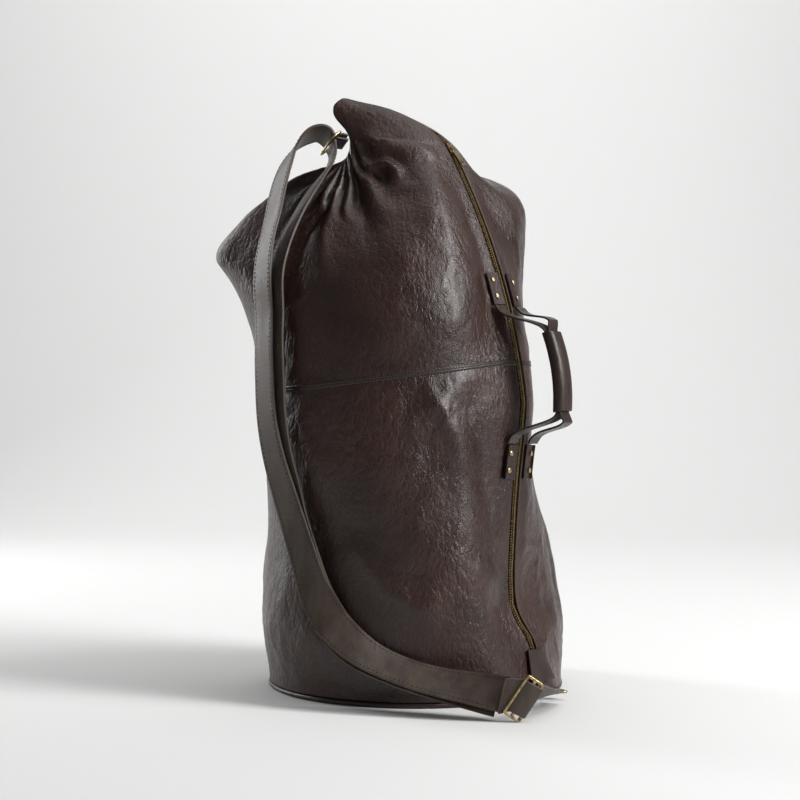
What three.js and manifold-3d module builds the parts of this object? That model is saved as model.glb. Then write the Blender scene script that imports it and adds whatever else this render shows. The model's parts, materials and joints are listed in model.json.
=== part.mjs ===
// Leather kit bag: a tall round duffel standing on its base, its mouth gathered to a point at the top.
// Millimetres, +Z up, origin at the centre of the base underside.
// -Y is the front of the bag and +X the side with the zip and the carry handle.

import * as THREE from 'three';
import { mergeVertices } from 'three/addons/utils/BufferGeometryUtils.js';
import Module from 'manifold-3d';

// Driving dimensions of the bag
const baseRadius = 161;
const seamHeight = 338;
const topHeight = 642;
const seamTilt = 0.12; // rise of the middle seam towards the zip side
const wall = 2.4; // leather thickness of the panels
const gap = 0.35; // clearance between pieces that touch

// Base
const baseDiscThickness = 2.6;
const boardThickness = 3;
const weltRadius = 2.6;

// Zip
const zipArcSag = 16; // bulge of the zip's upper arc
const zipGapHalf = 7; // panel edge to the middle of the zip
const tapeReach = 11; // tape edge to the middle of the zip
const tapeThickness = 0.9;
const tapeLift = 1; // room between the tape and the leather over it
const teethInner = 0.85;
const teethOuter = 3;
const teethThickness = 2.8;
const teethDepth = 1.2; // top of the teeth below the leather's outer face
const sliderLength = 13;
const sliderHalfWidth = 4;
const sliderPlate = 1.5;
const pullerLength = 25;
const pullerWidth = 7;
const sliderRoom = 0.8; // between the teeth and the slider's lower plate
const patchFoot = 10; // lower edge of the end patch above the foot of the bag
const patchLength = 36;
const patchFootWidth = 42;
const patchTopWidth = 26;
const patchThickness = 2;
const patchLift = 1.2; // room for the end of the zip under its patch

// Carry handle
const tabWidth = 19;
const tabLength = 36;
const tabThickness = 2.4;
const tabLift = 0.9; // room between a flat tab and the curve of the panel under it
const tabOffset = 17.5; // middle of a tab to the middle of the zip
const rivetHeadRadius = 3.3;
const rivetShankRadius = 1.5;
const rivetPitch = 18;
const rivetEdge = 9; // first rivet to the tab's root
const headLift = 0.6; // room between a rivet's head and the tab's curve
const rivetLift = 0.8; // room between a rivet's inner head and the panel's curve
const gripWidth = 25;
const gripDepth = 15;
const gripWall = 2.2;
const gripLength = 84;
const gripStandOff = 47; // middle of the grip to the zip
const handleStrapWidth = 17;
const handleStrapThickness = 2.3;

// Shoulder strap and its metal
const strapWidth = 36;
const strapThickness = 3;
const strapLift = 1.7; // room between a strap and what it lies on
const wireRadius = 1.5;
const ringWidth = strapWidth + 2 * 1.6; // clear width inside a ring
const topRingDepth = 10;
const buckleDepth = 14;
const slideBar = 3; // the bar across the buckle's middle
const baseRingDepth = 11;
const baseRingWidth = 20; // clear width inside the base ring
const chapeThickness = 2;
const topChapeWidth = 22;
const topChapeLegs = 12;
const baseChapeWidth = 16;
const baseChapeLegs = 3;

const wasm = await Module();
wasm.setup();

const v3 = (x, y, z) => new THREE.Vector3(x, y, z);
const lerp = THREE.MathUtils.lerp;
const polar = (degrees) => THREE.MathUtils.degToRad(degrees);

// ---- Solids and booleans ----

function geometryOf(vertices, triangles) {
  const geometry = new THREE.BufferGeometry();
  const flat = vertices.flatMap((p) => [p.x, p.y, p.z]);
  geometry.setAttribute('position', new THREE.Float32BufferAttribute(flat, 3));
  geometry.setIndex(triangles);
  return geometry;
}

function toManifold(source) {
  const bare = source.clone();
  bare.deleteAttribute('normal');
  bare.deleteAttribute('uv');
  const merged = mergeVertices(bare, 1e-4);
  const index = merged.getIndex().array;
  const triVerts = [];
  for (let i = 0; i < index.length; i += 3) {
    const [a, b, c] = [index[i], index[i + 1], index[i + 2]];
    if (a !== b && b !== c && c !== a) triVerts.push(a, b, c);
  }
  const vertProperties = new Float32Array(merged.getAttribute('position').array);
  return new wasm.Manifold(
    new wasm.Mesh({ numProp: 3, vertProperties, triVerts: new Uint32Array(triVerts) })
  );
}

function fromManifold(solid) {
  const mesh = solid.getMesh();
  const geometry = new THREE.BufferGeometry();
  geometry.setAttribute('position', new THREE.Float32BufferAttribute(mesh.vertProperties, 3));
  geometry.setIndex([...mesh.triVerts]);
  return geometry;
}

const cut = (geometry, tools) => {
  const shaped = tools.reduce((left, tool) => left.subtract(toManifold(tool)), toManifold(geometry));
  return fromManifold(shaped);
};

const join = (geometries) => {
  const solids = geometries.map(toManifold);
  return fromManifold(solids.reduce((sum, next) => sum.add(next)));
};

// A sheet of leather or cloth: pointAt(a, b) gives its outer face over the unit square.
// stations are the shares b of its rows, or their number; a level foot keeps the first row's edge flat
function slab(pointAt, columns, stations, thickness, levelFoot = false) {
  const evenly = (count) => Array.from({ length: count + 1 }, (_, j) => j / count);
  const shares = Array.isArray(stations) ? stations : evenly(stations);
  const rows = shares.length - 1;
  const step = 1e-3;
  const inside = (t) => THREE.MathUtils.clamp(t, step, 1 - step);
  const outer = [];
  const inner = [];
  for (let j = 0; j <= rows; j += 1) {
    for (let i = 0; i <= columns; i += 1) {
      const [a, b] = [i / columns, shares[j]];
      const p = pointAt(a, b);
      const across = pointAt(inside(a) + step, b).sub(pointAt(inside(a) - step, b));
      const along = pointAt(a, inside(b) + step).sub(pointAt(a, inside(b) - step));
      const normal = across.cross(along).normalize();
      if (levelFoot && j === 0) normal.setZ(0).normalize();
      outer.push(p);
      inner.push(p.clone().addScaledVector(normal, -thickness));
    }
  }
  const row = columns + 1;
  const below = outer.length;
  const triangles = [];
  const quad = (p, q, r, s) => triangles.push(p, q, r, p, r, s);
  for (let j = 0; j < rows; j += 1) {
    for (let i = 0; i < columns; i += 1) {
      const k = j * row + i;
      quad(k, k + 1, k + row + 1, k + row);
      quad(below + k, below + k + row, below + k + row + 1, below + k + 1);
    }
  }
  for (let i = 0; i < columns; i += 1) {
    const top = rows * row + i;
    quad(i, below + i, below + i + 1, i + 1);
    quad(top, top + 1, below + top + 1, below + top);
  }
  for (let j = 0; j < rows; j += 1) {
    const left = j * row;
    const right = left + columns;
    quad(left, left + row, below + left + row, below + left);
    quad(right, below + right, below + right + row, right + row);
  }
  return geometryOf([...outer, ...inner], triangles);
}

// A bar of round section along a list of corners, closed into a ring
function ringBar(corners, radius, sides) {
  const curve = new THREE.CurvePath();
  const blend = radius * 1.6;
  const count = corners.length;
  const towards = (from, to, d) => from.clone().add(to.clone().sub(from).setLength(d));
  for (let i = 0; i < count; i += 1) {
    const [before, here, after] = [corners[(i + count - 1) % count], corners[i], corners[(i + 1) % count]];
    const [enter, leave] = [towards(here, before, blend), towards(here, after, blend)];
    curve.add(new THREE.QuadraticBezierCurve3(enter, here, leave));
    curve.add(new THREE.LineCurve3(leave, towards(after, here, blend)));
  }
  const loop = new THREE.CatmullRomCurve3(curveSamples(curve), true, 'catmullrom', 0.5);
  const section = new THREE.Shape();
  section.absarc(0, 0, radius, 0, Math.PI * 2);
  return new THREE.ExtrudeGeometry(section, {
    steps: 28, curveSegments: sides, bevelEnabled: false, extrudePath: loop,
  });
}

function curveSamples(curve) {
  return curve.curves.flatMap((piece) => [0, 0.5].map((t) => piece.getPoint(t)));
}

// A lathe-turned piece placed with its axis along a direction
function turned(profile, at, axis, segments = 9) {
  const geometry = new THREE.LatheGeometry(profile.map(([r, h]) => new THREE.Vector2(r, h)), segments);
  geometry.applyQuaternion(new THREE.Quaternion().setFromUnitVectors(v3(0, 1, 0), axis));
  return geometry.translate(at.x, at.y, at.z);
}

// ---- The bag's skin ----

// Rings of the lower bag: height, centre x, half width along x, half width along y
const rings = [
  [2 * weltRadius + 2 * gap, 1, baseRadius, baseRadius],
  [30, 2, baseRadius + 2, baseRadius + 3],
  [64, 0, baseRadius + 5, baseRadius + 4],
  [97, -1, baseRadius + 5, baseRadius + 2],
  [165, -4, baseRadius - 3, baseRadius - 3],
  [237, -19, baseRadius - 18, baseRadius - 6],
  [300, -21, baseRadius - 17, baseRadius - 12],
  [seamHeight, -25, baseRadius - 15, baseRadius - 17],
];

const topScale = (topHeight - seamHeight) / (642 - 338);
const levelCount = 13; // levels of every meridian from the foot to the rim

function ringPoint([z, centreX, halfX, halfY], azimuth) {
  const x = centreX + halfX * Math.cos(polar(azimuth));
  const nearSeam = Math.max(0, 1 - Math.abs(z - seamHeight) / (0.3 * seamHeight));
  return v3(x, halfY * Math.sin(polar(azimuth)), z + seamTilt * x * nearSeam);
}

// A meridian: the rings at one azimuth, then points of its own up to the rim of the mouth
function meridian(azimuth, upper) {
  const lower = rings.map((ring) => ringPoint(ring, azimuth));
  const points = [...lower, ...upper.map(upperPoint)];
  return new THREE.CatmullRomCurve3(points, false, 'catmullrom', 0.5);
}

// The zip's line: points up the dented lower side, then a circular arc up to the ridge
const zipCross = v3(0.61, 0.79, -0.015).normalize();
const zipLow = v3(115.5, -75, 308);
const zipHigh = v3(36, -3, seamHeight + 254 * topScale);
const chord = zipHigh.clone().sub(zipLow);
zipCross.addScaledVector(chord, -zipCross.dot(chord) / chord.lengthSq()).normalize();
const chordOut = zipCross.clone().cross(chord).normalize().negate();
if (chordOut.x < 0) chordOut.negate();
const zipArcRadius = chord.lengthSq() / (8 * zipArcSag) + zipArcSag / 2;
const zipHalfAngle = Math.asin(chord.length() / 2 / zipArcRadius);
const zipArcCentre = zipLow.clone().add(zipHigh).multiplyScalar(0.5)
  .addScaledVector(chordOut, zipArcSag - zipArcRadius);
const chordUp = chord.clone().normalize();

// A point in the arc's own frame: share of the arc, side distance, depth below the skin
function arcPoint(share, side, depth) {
  const angle = (2 * share - 1) * zipHalfAngle;
  return zipArcCentre.clone()
    .addScaledVector(chordOut, (zipArcRadius - depth) * Math.cos(angle))
    .addScaledVector(chordUp, (zipArcRadius - depth) * Math.sin(angle))
    .addScaledVector(zipCross, side);
}

const zipFoot = [
  [138, -88, rings[0][0]], [130, -89, 30], [120, -91, 64], [102, -92, 97],
  [103, -88, 165], [107.5, -83, 237],
];
const upperZ = (z) => seamHeight + (z - 338) * topScale;
const upperPoint = ([x, y, z]) => v3(x, y, upperZ(z));
const ridge = [[-22, 3, 628], [-76, 4, 642]].map(upperPoint);
const arcShares = [0, 0.14, 0.34, 0.56, 0.78, 1];
const arcFirst = zipFoot.length;
const arcLast = arcFirst + arcShares.length - 1;
const footCurve = new THREE.CatmullRomCurve3([
  ...zipFoot.map(([x, y, z]) => v3(x, y, z)), arcPoint(0, 0, 0), arcPoint(arcShares[1], 0, 0),
], false, 'catmullrom', 0.5);
const ridgeSweep = ridge[1].clone().sub(zipHigh).multiplyScalar(1 / 6);
const arcEndTangent = arcPoint(1.01, 0, 0).sub(arcPoint(0.99, 0, 0)).normalize();
const ridgeCurves = [
  new THREE.CubicBezierCurve3(zipHigh, zipHigh.clone().addScaledVector(arcEndTangent, 16),
    ridge[0].clone().sub(ridgeSweep), ridge[0]),
  new THREE.CubicBezierCurve3(ridge[0], ridge[0].clone().add(ridgeSweep),
    ridge[1].clone().sub(ridgeSweep), ridge[1]),
];

// Share of the arc at a level between the arc's first and last levels
function shareAtLevel(level) {
  const i = Math.min(arcShares.length - 2, Math.floor(level - arcFirst));
  return lerp(arcShares[i], arcShares[i + 1], level - arcFirst - i);
}

function zipAt(level) {
  if (level <= arcFirst) return footCurve.getPoint(level / (arcFirst + 1));
  if (level <= arcLast) return arcPoint(shareAtLevel(level), 0, 0);
  const over = level - arcLast;
  return over <= 1 ? ridgeCurves[0].getPoint(over) : ridgeCurves[1].getPoint(Math.min(1, over - 1));
}

// The lands beside the zip lie square to the zip's own plane, then close into the ridge's fold
const ridgeReach = 2.2; // the leather's edge to the middle of the ridge's fold
const landReach = 24;
const landDrop = 3;
const folds = { '-1': [[-6, -13, -12], [-12, -10, -10]], 1: [[0, 11, -13], [-8, 6, -10]] };
function landAt(side, level) {
  if (level <= arcLast) {
    const share = level <= arcFirst ? 0 : shareAtLevel(level);
    const out = arcPoint(share, 0, 0).sub(zipArcCentre).normalize();
    const cross = zipCross.clone();
    const standing = Math.min(1, level / arcFirst); // the foot of the bag is level
    out.setZ(out.z * standing);
    cross.setZ(cross.z * standing);
    return zipAt(level).addScaledVector(cross, side * landReach).addScaledVector(out, -landDrop);
  }
  const [first, last] = folds[side].map(([x, y, z]) => v3(x, y, z));
  const start = landAt(side, arcLast).sub(zipHigh);
  const over = level - arcLast;
  const ease = THREE.MathUtils.smoothstep(Math.min(over, 1), 0, 1);
  const offset = over <= 1 ? start.lerp(first, ease) : first.lerp(last, Math.min(1, over - 1));
  return zipAt(level).add(offset);
}

const lines = [
  { getPoint: (up) => zipAt(up * levelCount) },
  { getPoint: (up) => landAt(-1, up * levelCount) },
  meridian(-66, [
    [46, -122, 402], [38, -106, 462], [24, -78, 520],
    [-2, -42, 570], [-42, -18, 600], [-88, -8, 620],
  ]),
  meridian(-98, [
    [-30, -142, 392], [-40, -122, 446], [-52, -84, 496],
    [-60, -46, 534], [-68, -22, 566], [-71, -9, 598],
  ]),
  meridian(-138, [
    [-122, -104, 380], [-140, -82, 432], [-142, -54, 478],
    [-118, -34, 518], [-90, -18, 552], [-69, -6, 582],
  ]),
  meridian(180, [
    [-181, 0, 384], [-203, 0, 440], [-219, 0, 472],
    [-172, 0, 527], [-120, 0, 556], [-76, 0, 571],
  ]),
  meridian(138, [
    [-132, 102, 382], [-150, 84, 436], [-150, 58, 482],
    [-122, 36, 520], [-92, 20, 552], [-69, 7, 578],
  ]),
  meridian(92, [
    [-20, 140, 398], [-16, 124, 452], [-22, 92, 504],
    [-40, 54, 540], [-58, 26, 566], [-67, 9, 588],
  ]),
  meridian(50, [
    [100, 98, 410], [110, 94, 478], [115, 84, 543],
    [66, 62, 564], [0, 32, 574], [-66, 9, 602],
  ]),
  meridian(12, [
    [119, 14, 406], [116, 18, 470], [108, 24, 528],
    [60, 22, 566], [-12, 18, 596], [-80, 9, 620],
  ]),
  { getPoint: (up) => landAt(1, up * levelCount) },
];
const seamLevel = (rings.length - 1) / levelCount;

// The skin's outer face: around runs from the zip over the front to the left, back and round
const ringCache = new Map();
function skin(around, up) {
  const key = up.toFixed(6);
  if (!ringCache.has(key)) {
    const points = lines.map((line) => line.getPoint(THREE.MathUtils.clamp(up, 0, 1)));
    ringCache.set(key, new THREE.CatmullRomCurve3(points, true, 'centripetal'));
  }
  return ringCache.get(key).getPoint(((around % 1) + 1) % 1);
}

// Share of the way around that lies a given distance from the zip's middle, towards the front if positive
function aside(distance, up, origin = 0) {
  if (Math.abs(distance) < 1e-6) return origin;
  const start = skin(origin, up);
  let around = origin + Math.sign(distance) * 0.01;
  for (let round = 0; round < 4; round += 1) {
    around = origin + (around - origin) * Math.abs(distance) / skin(around, up).distanceTo(start);
  }
  return around;
}

function skinNormal(around, up) {
  const step = 2e-3;
  const across = skin(around + step, up).sub(skin(around - step, up));
  const along = skin(around, up + step).sub(skin(around, up - step));
  return along.cross(across).normalize();
}

const halfSeam = gap / 2;
const zipFootStation = 1.5; // level of the zip's lower end
const zipTopStation = arcLast + 0.25; // level of its upper end

// Distance from the zip's middle to the leather's edge: a slot beside the zip, a closed seam past its ends
function edgeReach(up) {
  const level = up * levelCount;
  const opening = THREE.MathUtils.smoothstep(level, zipFootStation - 0.5, zipFootStation);
  const closing = THREE.MathUtils.smoothstep(level, zipTopStation, zipTopStation + 0.4);
  const shut = level > arcLast ? ridgeReach : halfSeam;
  return lerp(shut, zipGapHalf, opening * (1 - closing));
}

// One panel between two heights, from the zip to the back seam; side +1 is the front, -1 the back
function panel(side, low, high, columns, rows) {
  const point = (a, b) => {
    const up = lerp(low, high, b);
    const start = aside(side * edgeReach(up), up);
    const end = aside(-side * halfSeam, up, side * 0.5);
    const share = side > 0 ? 1 - a : a;
    return skin(lerp(start, end, share), up);
  };
  return slab(point, columns, rows, wall, low === 0);
}

const leather = { color: 0x2e1d17, roughness: 0.38, metalness: 0 };
const strapLeather = { color: 0x463830, roughness: 0.5, metalness: 0 };
const brass = { color: 0x9a7b45, roughness: 0.35, metalness: 0.9 };
const cloth = { color: 0x5f4a2a, roughness: 0.85, metalness: 0 };
const board = { color: 0x3b342e, roughness: 0.8, metalness: 0 };

const bag = new THREE.Group();
function add(name, geometry, finish, parent = bag) {
  const mesh = new THREE.Mesh(geometry, new THREE.MeshStandardMaterial(finish));
  mesh.name = name;
  parent.add(mesh);
  return mesh;
}

// ---- Handle frame: everything about the zip's arc ----

const handleMiddle = 0.1; // share of the arc beside the grip's middle
const arcLength = 2 * zipArcRadius * zipHalfAngle;
const shareOf = (length) => length / arcLength;
const rootSpan = 150; // between the ends of the upper and lower tabs
const upperRoot = handleMiddle + shareOf(rootSpan / 2);
const lowerRoot = handleMiddle - shareOf(rootSpan / 2);

// Below the arc's low end the skin follows the zip line; levels there run on past share 0
const chords = 399;
const zipPoints = Array.from({ length: chords + 1 }, (_, i) => lines[0].getPoint(i / chords));
const lengths = zipPoints.reduce((list, point, i) => {
  list.push(i ? list[i - 1] + point.distanceTo(zipPoints[i - 1]) : 0);
  return list;
}, []);
const zipLineLength = lengths[chords];
const lengthAt = (up) => {
  const place = up * chords;
  const i = Math.min(chords - 1, Math.floor(place));
  return lerp(lengths[i], lengths[i + 1], place - i);
};
const levelAtLength = (length) => {
  let i = 0;
  while (i < chords - 1 && lengths[i + 1] < length) i += 1;
  return (i + (length - lengths[i]) / (lengths[i + 1] - lengths[i])) / chords;
};
const arcStart = lengthAt(arcFirst / levelCount);
const levelAlong = (share) => levelAtLength(arcStart + share * arcLength);

// Point over the skin beside the zip: share of the arc, side distance (front is negative), lift
function overSkin(share, side, lift) {
  const up = levelAlong(share);
  const around = aside(-side, up);
  return skin(around, up).addScaledVector(skinNormal(around, up), lift);
}

// ---- Rivets, their tabs and the holes they pass through ----

const tabs = [];
for (const [height, root, away] of [['upper', upperRoot, 1], ['lower', lowerRoot, -1]]) {
  for (const [place, side] of [['front', -1], ['back', 1]]) tabs.push({ height, place, root, away, side });
}
const rivets = [];
for (const tab of tabs) {
  for (const [number, reach] of [[1, rivetEdge], [2, rivetEdge + rivetPitch]]) {
    const share = tab.root + tab.away * shareOf(reach);
    const side = tab.side * tabOffset;
    const at = overSkin(share, side, 0);
    const up = levelAlong(share);
    rivets.push({ tab, number, at, axis: skinNormal(aside(-side, up), up) });
  }
}
const tabTop = tabLift + tabThickness;
const holeTool = ({ at, axis }) => {
  const r = rivetShankRadius + gap;
  return turned([[0, -12], [r, -12], [r, 12], [0, 12]], at, axis);
};
const washerRadius = rivetHeadRadius - 0.6;
const washerThickness = 1;
const innerHead = -wall - rivetLift;
const outerHead = tabTop + headLift;
const rivetProfile = [
  [0, innerHead - washerThickness], [washerRadius, innerHead - washerThickness], [washerRadius, innerHead],
  [rivetShankRadius, innerHead], [rivetShankRadius, outerHead], [rivetHeadRadius, outerHead],
  [rivetHeadRadius * 0.92, outerHead + 0.7], [rivetHeadRadius * 0.55, outerHead + 1.35],
  [0, outerHead + 1.6],
];

// ---- Panels ----

const seamGap = halfSeam / zipLineLength;
const holesFor = (half, side) => rivets.filter((r) => r.tab.side === side && panelHalf(r) === half);
const panelHalf = ({ tab, number }) => {
  const share = tab.root + tab.away * shareOf(number === 1 ? rivetEdge : rivetEdge + rivetPitch);
  return levelAlong(share) > seamLevel ? 'upper' : 'lower';
};
for (const [place, side] of [['front', 1], ['back', -1]]) {
  const lower = panel(side, 0, seamLevel - seamGap, 20, 14);
  const upper = panel(side, seamLevel + seamGap, 1, 24, 18);
  add(`lower_${place}_panel`, cut(lower, holesFor('lower', -side).map(holeTool)), leather);
  add(`upper_${place}_panel`, cut(upper, holesFor('upper', -side).map(holeTool)), leather);
}

// ---- Base: sewn disc, stiffening board and piped welt ----

const footRing = (inset, z, count) => Array.from({ length: count }, (_, i) => {
  const around = i / count;
  const p = skin(around, 0);
  const out = v3(p.x, p.y, 0).normalize();
  return v3(p.x, p.y, z).addScaledVector(out, -inset);
});
function disc(inset, bottom, thickness) {
  const outline = new THREE.Shape(footRing(inset, 0, 64).map((p) => new THREE.Vector2(p.x, p.y)).reverse());
  const geometry = new THREE.ExtrudeGeometry(outline, { depth: thickness, bevelEnabled: false });
  return geometry.translate(0, 0, bottom);
}
add('base_disc', disc(2 * weltRadius + 5 * gap - 0.4, 0, baseDiscThickness), leather);
add('base_board', disc(wall + 3 * gap + 3, baseDiscThickness + gap, boardThickness), board);
const weltPath = new THREE.CatmullRomCurve3(footRing(weltRadius - 1, weltRadius + 0.15, 32), true);
const weltSection = new THREE.Shape();
weltSection.absarc(0, 0, weltRadius, 0, Math.PI * 2);
add('base_welt', new THREE.ExtrudeGeometry(weltSection, {
  steps: 56, curveSegments: 4, bevelEnabled: false, extrudePath: weltPath,
}), leather);

// ---- Zip: tapes, rows of teeth, stops, slider and puller ----

const zipFootLevel = zipFootStation / levelCount;
const zipTopLevel = zipTopStation / levelCount;
const seamStation = seamLevel * levelCount;
const stations = [];
for (let level = zipFootStation; level <= seamStation; level += 0.5) stations.push(level);
for (let level = seamStation + 1 / 3; level < zipTopStation - 0.1; level += 1 / 3) stations.push(level);
stations.push(zipTopStation);

// Points square to the zip's line: side distance (front is negative) and depth below the leather's face
const besideZip = (up, side, depth) => zipAt(up * levelCount)
  .addScaledVector(zipCross, side).addScaledVector(skinNormal(0, up), -depth);
const underSkin = (up, side, depth) => skin(aside(-side, up), up)
  .addScaledVector(skinNormal(0, up), -depth);
function zipStrip(place, side, inner, outer, depth, thickness) {
  const reach = (a) => (side < 0 ? -lerp(outer, inner, a) : lerp(inner, outer, a));
  const point = (a, b) => place(lerp(zipFootLevel, zipTopLevel, b), reach(a), depth);
  const range = zipTopStation - zipFootStation;
  return slab(point, 1, stations.map((level) => (level - zipFootStation) / range), thickness);
}
for (const [place, side] of [['front', -1], ['back', 1]]) {
  const tape = zipStrip(underSkin, side, teethOuter + gap, tapeReach, wall + tapeLift, tapeThickness);
  add(`zip_tape_${place}`, tape, cloth);
  const teeth = zipStrip(besideZip, side, teethInner, teethOuter, teethDepth, teethThickness);
  add(`zip_teeth_${place}`, teeth, brass);
}

const sliderShare = 0.96;
function arcBlock(share, length, side0, side1, depth0, depth1, steps = 3) {
  const half = shareOf(length) / 2;
  const point = (a, b) => arcPoint(lerp(share - half, share + half, b), lerp(side0, side1, a), depth0);
  return slab(point, 1, steps, depth1 - depth0);
}
for (const [place, side] of [['front', -1], ['back', 1]]) {
  const from = side < 0 ? -teethOuter : teethInner;
  const to = side < 0 ? -teethInner : teethOuter;
  add(`zip_top_stop_${place}`, arcBlock(sliderShare + shareOf(sliderLength / 2 + 2.4), 2.6,
    from, to, teethDepth - gap - 1.2, teethDepth - gap), brass);
}
const teethBottom = teethDepth + teethThickness;
const sliderTop = teethDepth - gap - sliderPlate;
const slider = new THREE.Group();
bag.add(slider);
const sliderParts = [
  arcBlock(sliderShare, sliderLength, -sliderHalfWidth, sliderHalfWidth, sliderTop, teethDepth - gap),
  arcBlock(sliderShare, sliderLength, -sliderHalfWidth, sliderHalfWidth,
    teethBottom + sliderRoom, teethBottom + sliderRoom + sliderPlate),
  arcBlock(sliderShare, sliderLength * 0.4, -teethInner + gap, teethInner - gap,
    teethDepth - gap - 0.2, teethBottom + sliderRoom + 0.2),
];
const lugShare = sliderShare + shareOf(2.2);
const lugHeight = 2.4;
const [lugTop, lugFoot] = [sliderTop - lugHeight, sliderTop + 0.2];
for (const middle of [-2.6, 2.6]) {
  sliderParts.push(arcBlock(lugShare, 3.2, middle - 0.7, middle + 0.7, lugTop, lugFoot));
}
add('zip_slider', join(sliderParts), brass, slider);

// The puller hangs on a pin between the slider's lugs and lies down the zip
const pullerPivot = arcPoint(lugShare, 0, sliderTop - lugHeight / 2 - 0.1);
const pullerDown = arcPoint(lugShare - 0.02, 0, 0).sub(arcPoint(lugShare + 0.02, 0, 0)).normalize();
const pullerOut = pullerDown.clone().cross(zipCross).normalize();
if (pullerOut.dot(chordOut) < 0) pullerOut.negate();
const pullerPlate = (half, start, end, rise) => {
  const corner = (a, b) => pullerPivot.clone()
    .addScaledVector(pullerDown, lerp(start, end, b))
    .addScaledVector(pullerOut, lerp(0, rise, b) + 0.6)
    .addScaledVector(zipCross, lerp(half, -half, a));
  return slab(corner, 1, 1, 1.3);
};
const pullerBody = pullerPlate(pullerWidth / 2, 4, pullerLength, 3);
const neck = pullerPlate(1.4, -0.9, 4.6, 0);
const slotEnd = 5;
const slotHole = slab((a, b) => pullerPivot.clone()
  .addScaledVector(pullerDown, lerp(pullerLength - slotEnd - 3, pullerLength - 3, b))
  .addScaledVector(pullerOut, 6)
  .addScaledVector(zipCross, lerp(1.7, -1.7, a)), 1, 1, 9);
add('zip_puller', cut(join([pullerBody, neck]), [slotHole]), brass, slider);

const stopLength = 5;
const stopPoint = (a, b) => {
  const up = lerp(zipFootLevel - stopLength / zipLineLength, zipFootLevel, b) - gap / zipLineLength;
  return skin(aside(lerp(teethOuter, -teethOuter, a), up), up)
    .addScaledVector(skinNormal(0, up), -teethDepth);
};
add('zip_bottom_stop', slab(stopPoint, 2, 1, teethThickness), brass);

// ---- Patch over the zip's lower end ----

const patchBottom = levelAtLength(patchFoot);
const patchTop = levelAtLength(patchFoot + patchLength);
const patchSheet = (a, b) => {
  const up = lerp(patchBottom, patchTop, b);
  const half = lerp(patchFootWidth, patchTopWidth, b) / 2;
  const around = aside(lerp(half, -half, a), up);
  return skin(around, up).addScaledVector(skinNormal(around, up), patchLift + patchThickness);
};
add('zip_end_patch', slab(patchSheet, 6, 6, patchThickness), leather);

// ---- Handle: tabs, rivets, two straps and the wrapped grip ----

for (const tab of tabs) {
  const sheet = (a, b) => {
    const reach = lerp(0, tabLength, tab.away > 0 ? b : 1 - b);
    const across = lerp(-tabWidth / 2, tabWidth / 2, a);
    return overSkin(tab.root + tab.away * shareOf(reach), tab.side * tabOffset + across, tabTop);
  };
  const own = rivets.filter((rivet) => rivet.tab === tab);
  const drilled = cut(slab(sheet, 4, 8, tabThickness), own.map(holeTool));
  add(`handle_tab_${tab.height}_${tab.place}`, drilled, leather);
  for (const { number, at, axis } of own) {
    add(`handle_rivet_${tab.height}_${tab.place}_${number}`, turned(rivetProfile, at, axis), brass);
  }
}

const handle = new THREE.Group();
bag.add(handle);
const gripCentre = arcPoint(handleMiddle - 0.02, 0, -gripStandOff);
const gripUp = arcPoint(handleMiddle + 0.15, 0, 0).sub(arcPoint(handleMiddle - 0.19, 0, 0)).normalize();
const gripOut = zipCross.clone().cross(gripUp).normalize();
if (gripOut.dot(chordOut) < 0) gripOut.negate();
const bow = 5; // the grip bows outwards in its middle
const gripLine = (t) => gripCentre.clone()
  .addScaledVector(gripUp, t * gripLength)
  .addScaledVector(gripOut, bow * (1 - 4 * t * t) - bow / 2);

// Each strap runs from its upper tab, through the grip, to its lower tab
function handleStrap(side) {
  const lift = tabTop + gap;
  const start = overSkin(upperRoot - shareOf(1), side * tabOffset, lift + 0.6);
  const outer = side > 0 ? 4 : 0; // the back strap passes outside the front one
  const early = overSkin(upperRoot - shareOf(11), side * (tabOffset - 3), lift + 4 + outer);
  const late = overSkin(lowerRoot + shareOf(11), side * (tabOffset - 3), lift + 4 + outer);
  const end = overSkin(lowerRoot + shareOf(1), side * tabOffset, lift + 0.6);
  const half = handleStrapThickness / 2;
  const layer = (t, spread) => gripLine(t).addScaledVector(zipCross, side * spread)
    .addScaledVector(gripUp, Math.sign(t) * side * spread * 0.5)
    .addScaledVector(gripOut, side * (half + gap + spread * 0.4) + half);
  const inGrip = [0.5, 0.35, 0, -0.35, -0.5].map((t) => layer(t, 0));
  const path = new THREE.CatmullRomCurve3(
    [start, early, layer(0.64, 5), ...inGrip, layer(-0.62, 5), late, end], false, 'centripetal');
  const sheet = (a, b) => path.getPoint(1 - b).addScaledVector(zipCross, (a - 0.5) * handleStrapWidth);
  return slab(sheet, 1, 34, handleStrapThickness);
}
add('handle_strap_front', handleStrap(-1), leather, handle);
add('handle_strap_back', handleStrap(1), leather, handle);

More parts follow.
